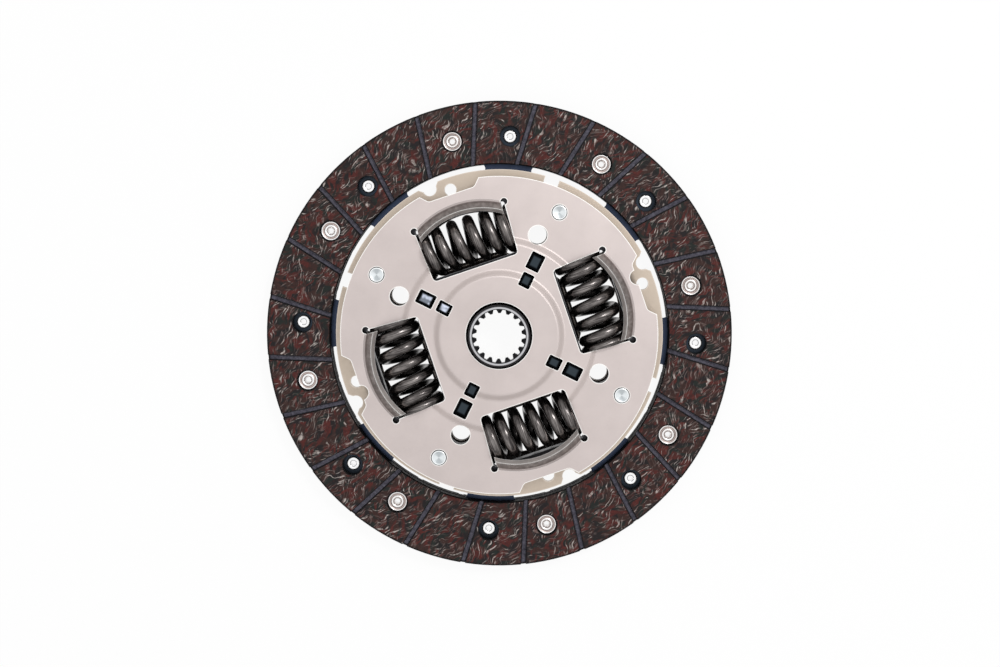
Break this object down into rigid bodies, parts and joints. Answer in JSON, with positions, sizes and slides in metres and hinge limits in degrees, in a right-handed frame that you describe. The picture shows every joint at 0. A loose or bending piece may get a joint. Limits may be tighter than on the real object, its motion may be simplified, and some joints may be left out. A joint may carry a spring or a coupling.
{
  "type": "clutch disc",
  "caption": "Sprung clutch disc: grooved friction facings riveted to a cushion disc, side plates with coil springs in formed-lip windows, and a splined hub.",
  "frame": {"origin": "on the hub's axis, in the plane of the flywheel-side friction face, on which the disc rests", "axes": "+Z along the hub's axis towards the gearbox; +X and +Y to the right and up in the view from the gearbox side"},
  "size_m": [0.18, 0.18, 0.0212],
  "materials": {
    "lining": "rough woven friction lining, moulded and ground",
    "plate_steel": "satin, warm grey",
    "rear_plate_steel": "satin, beige film",
    "blued_steel": "blued",
    "spring_steel": "black, oiled",
    "pin_steel": "bright",
    "rivet_steel": "coppery bright",
    "hub_steel": "turned, dark phosphated",
    "resin": "filled friction resin"
  },
  "bodies": {
    "plates": {"front_plate": "plate_steel", "rear_plate": "rear_plate_steel", "cushion_disc": "blued_steel", "facing_front": "lining", "facing_rear": "lining", "friction_ring_front": "resin", "pressure_washer": "blued_steel", "spring_washer": "spring_steel", "support_washer": "blued_steel", "friction_ring_rear": "resin", "centring_bush": "resin", "stop_pin_1": "pin_steel", "stop_pin_2": "pin_steel", "stop_pin_3": "pin_steel", "stop_pin_4": "pin_steel", "facing_rivet_front_1": "rivet_steel", "facing_rivet_front_2": "rivet_steel", "facing_rivet_front_3": "rivet_steel", "facing_rivet_front_4": "rivet_steel", "facing_rivet_front_5": "rivet_steel", "facing_rivet_front_6": "rivet_steel", "facing_rivet_front_7": "rivet_steel", "facing_rivet_front_8": "rivet_steel", "facing_rivet_rear_1": "rivet_steel", "facing_rivet_rear_2": "rivet_steel", "facing_rivet_rear_3": "rivet_steel", "facing_rivet_rear_4": "rivet_steel", "facing_rivet_rear_5": "rivet_steel", "facing_rivet_rear_6": "rivet_steel", "facing_rivet_rear_7": "rivet_steel", "facing_rivet_rear_8": "rivet_steel"},
    "hub": {"hub": "hub_steel"},
    "springs": {"damper_spring_1": "spring_steel", "damper_spring_2": "spring_steel", "damper_spring_3": "spring_steel", "damper_spring_4": "spring_steel"}
  },
  "joints": [
    {"name": "hub_turn", "type": "hinge", "parent": "plates", "child": "hub", "pos_m": [0, 0, 0.01], "axis": [0, 0, 1], "range_deg": [-8, 8], "stiffness_Nm_per_rad": 803, "deforming": ["damper_spring_1", "damper_spring_2", "damper_spring_3", "damper_spring_4"]},
    {"name": "springs_follow", "type": "hinge", "parent": "plates", "child": "springs", "pos_m": [0, 0, 0.01], "axis": [0, 0, 1], "range_deg": [-4, 4]}
  ],
  "couplings": [
    {"joint": "springs_follow", "follows": "hub_turn", "ratio": 0.5}
  ]
}
